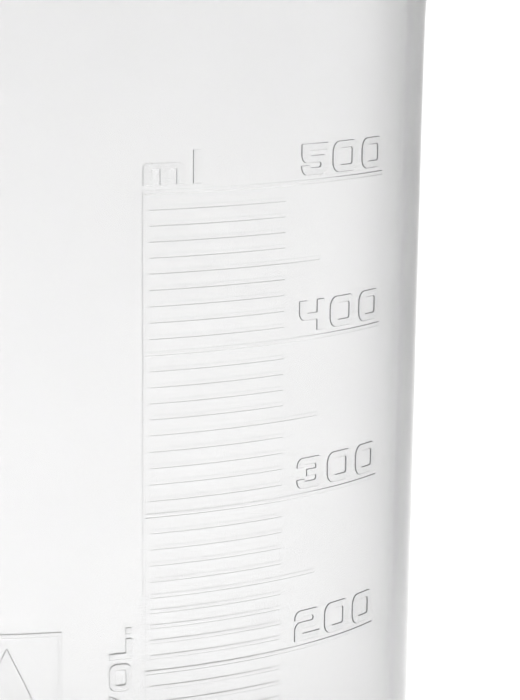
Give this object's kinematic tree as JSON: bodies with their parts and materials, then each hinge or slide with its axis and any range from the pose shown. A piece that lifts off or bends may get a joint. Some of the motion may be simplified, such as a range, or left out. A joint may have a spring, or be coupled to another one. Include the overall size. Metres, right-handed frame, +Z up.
{
  "type": "graduated laboratory beaker",
  "caption": "Low-form translucent plastic laboratory beaker with an everted rim, a pouring spout and a raised millilitre scale on its front.",
  "frame": {"origin": "centre of the flat underside, on the beaker's axis, where it rests on a bench", "axes": "+Z up along the beaker's axis; -Y towards the middle of the raised scale; -X towards the pouring spout"},
  "size_m": [0.1092, 0.1036, 0.12],
  "materials": {
    "polypropylene": "natural translucent white, satin, as moulded"
  },
  "bodies": {
    "root": {"badge_drop": "polypropylene", "badge_frame": "polypropylene", "beaker_body": "polypropylene", "legend_l": "polypropylene", "legend_o": "polypropylene", "legend_v": "polypropylene", "line_110": "polypropylene", "line_120": "polypropylene", "line_130": "polypropylene", "line_140": "polypropylene", "line_150": "polypropylene", "line_160": "polypropylene", "line_170": "polypropylene", "line_180": "polypropylene", "line_190": "polypropylene", "line_210": "polypropylene", "line_220": "polypropylene", "line_230": "polypropylene", "line_240": "polypropylene", "line_250": "polypropylene", "line_260": "polypropylene", "line_270": "polypropylene", "line_280": "polypropylene", "line_290": "polypropylene", "line_310": "polypropylene", "line_320": "polypropylene", "line_330": "polypropylene", "line_340": "polypropylene", "line_350": "polypropylene", "line_360": "polypropylene", "line_370": "polypropylene", "line_380": "polypropylene", "line_390": "polypropylene", "line_410": "polypropylene", "line_420": "polypropylene", "line_430": "polypropylene", "line_440": "polypropylene", "line_450": "polypropylene", "line_460": "polypropylene", "line_470": "polypropylene", "line_480": "polypropylene", "line_490": "polypropylene", "numeral_100_0a": "polypropylene", "numeral_100_0b": "polypropylene", "numeral_100_1": "polypropylene", "numeral_200_0a": "polypropylene", "numeral_200_0b": "polypropylene", "numeral_200_2": "polypropylene", "numeral_300_0a": "polypropylene", "numeral_300_0b": "polypropylene", "numeral_300_3": "polypropylene", "numeral_400_0a": "polypropylene", "numeral_400_0b": "polypropylene", "numeral_400_4": "polypropylene", "numeral_500_0a": "polypropylene", "numeral_500_0b": "polypropylene", "numeral_500_5": "polypropylene", "scale_spine_and_hundreds": "polypropylene", "unit_l": "polypropylene", "unit_m": "polypropylene"}
  },
  "joints": []
}
